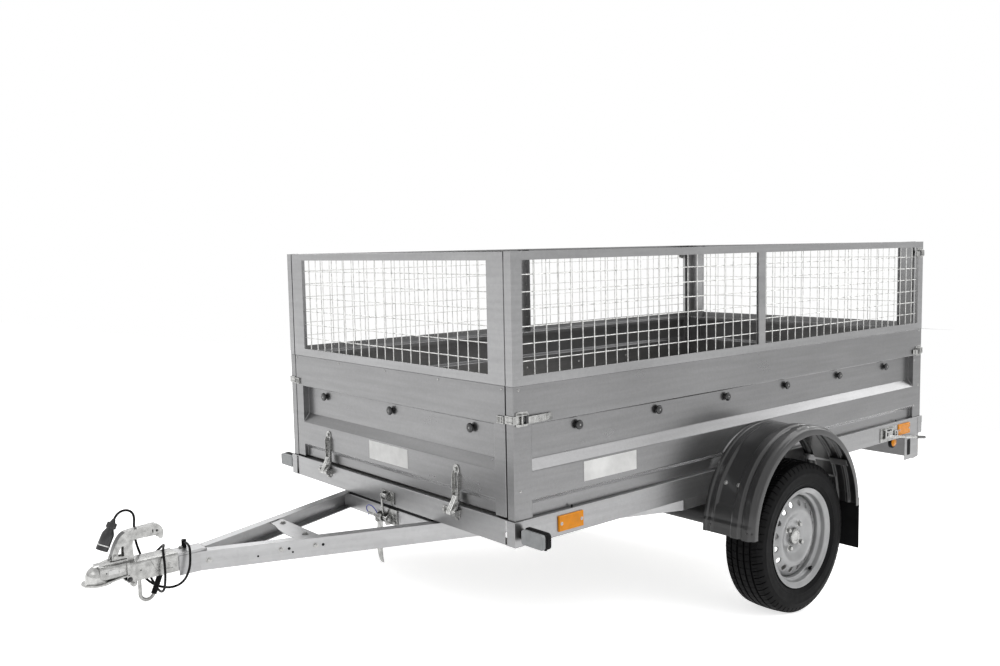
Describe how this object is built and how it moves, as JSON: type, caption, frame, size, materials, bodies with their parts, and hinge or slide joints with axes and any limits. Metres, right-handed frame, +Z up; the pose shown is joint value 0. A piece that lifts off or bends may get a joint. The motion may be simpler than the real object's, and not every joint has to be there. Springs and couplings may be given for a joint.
{
  "type": "utility trailer",
  "caption": "Single-axle tipping utility trailer with folded steel walls, wire mesh sides, hinged front wall and tailgate, V drawbar and ball coupling.",
  "frame": {"origin": "on the floor below the centre of the whole trailer's box, cable left out", "axes": "+X forward along the drawbar, +Y to the trailer's left, +Z up; the trailer stands parked, its nose down on the loop below the coupling"},
  "size_m": [3.44, 1.732, 1.5102],
  "materials": {
    "galvanised": "hot-dip galvanised, satin",
    "zinc_plated": "zinc plated, bright",
    "wheel_silver": "silver paint, satin",
    "axle_black": "black paint, satin",
    "tyre_rubber": "matt",
    "black_rubber": "matt",
    "cable_black": "satin",
    "fender_plastic": "moulded, satin gloss",
    "black_plastic": "moulded",
    "plywood": "film-faced",
    "amber_lens": "reflector",
    "clear_lens": "clear lens over silver",
    "red_lens": "lamp lens",
    "plate_white": "blank plate"
  },
  "bodies": {
    "chassis": {"drawbar_left": "galvanised", "drawbar_right": "galvanised", "tongue": "galvanised", "drawbar_gusset": "galvanised", "drawbar_crossbar": "galvanised", "rubber_pad": "black_rubber", "coupling_head": "zinc_plated", "coupling_handle": "zinc_plated", "support_loop": "zinc_plated", "loop_sleeve": "black_rubber", "tilt_latch_lower": "galvanised", "axle_tube": "axle_black", "axle_mounts": "galvanised", "axle_arms": "axle_black", "cable_gland": "black_rubber", "cable": "cable_black", "plug": "black_plastic"},
    "wheel_left": {"tyre_left": "tyre_rubber", "rim_left": "wheel_silver"},
    "wheel_right": {"tyre_right": "tyre_rubber", "rim_right": "wheel_silver"},
    "front_gate": {"front_panel": "galvanised", "front_mesh": "galvanised", "front_straps": "galvanised", "front_knobs": "black_plastic", "front_keepers": "galvanised"},
    "tailgate": {"tail_panel": "galvanised", "tail_mesh": "galvanised", "tail_straps": "galvanised", "tail_knobs": "black_plastic", "tail_keepers": "galvanised"},
    "bed": {"corner_latches": "zinc_plated", "cross_members": "galvanised", "end_sills": "galvanised", "fender_brackets": "galvanised", "fender_left": "fender_plastic", "fender_right": "fender_plastic", "floor_panel": "plywood", "gate_hinges": "galvanised", "lamp_board": "galvanised", "mudflaps": "black_rubber", "number_plate": "plate_white", "pivot_ears": "galvanised", "position_lamps": "black_rubber", "position_lenses": "clear_lens", "rear_lamps": "red_lens", "side_knobs": "black_plastic", "side_mesh_left": "galvanised", "side_mesh_right": "galvanised", "side_reflectors": "amber_lens", "side_sill_left": "galvanised", "side_sill_right": "galvanised", "side_wall_left": "galvanised", "side_wall_right": "galvanised", "sill_catches": "zinc_plated", "tilt_latch_upper": "galvanised"}
  },
  "joints": [
    {"name": "wheel_left_spin", "type": "hinge", "parent": "chassis", "child": "wheel_left", "pos_m": [-0.50472, 0.751, 0.274], "axis": [0, 1, 0], "continuous": true},
    {"name": "wheel_right_spin", "type": "hinge", "parent": "chassis", "child": "wheel_right", "pos_m": [-0.50472, -0.751, 0.274], "axis": [0, 1, 0], "continuous": true},
    {"name": "bed_tip", "type": "hinge", "parent": "chassis", "child": "bed", "pos_m": [-0.53824, 0, 0.42266], "axis": [0, -1, 0], "range_deg": [0, 15]},
    {"name": "front_gate_hinge", "type": "hinge", "parent": "bed", "child": "front_gate", "pos_m": [0.76133, 0, 0.30986], "axis": [0, 1, 0], "range_deg": [0, 80]},
    {"name": "tailgate_hinge", "type": "hinge", "parent": "bed", "child": "tailgate", "pos_m": [-1.66375, 0, 0.7229], "axis": [0, -1, 0], "range_deg": [0, 110]}
  ]
}
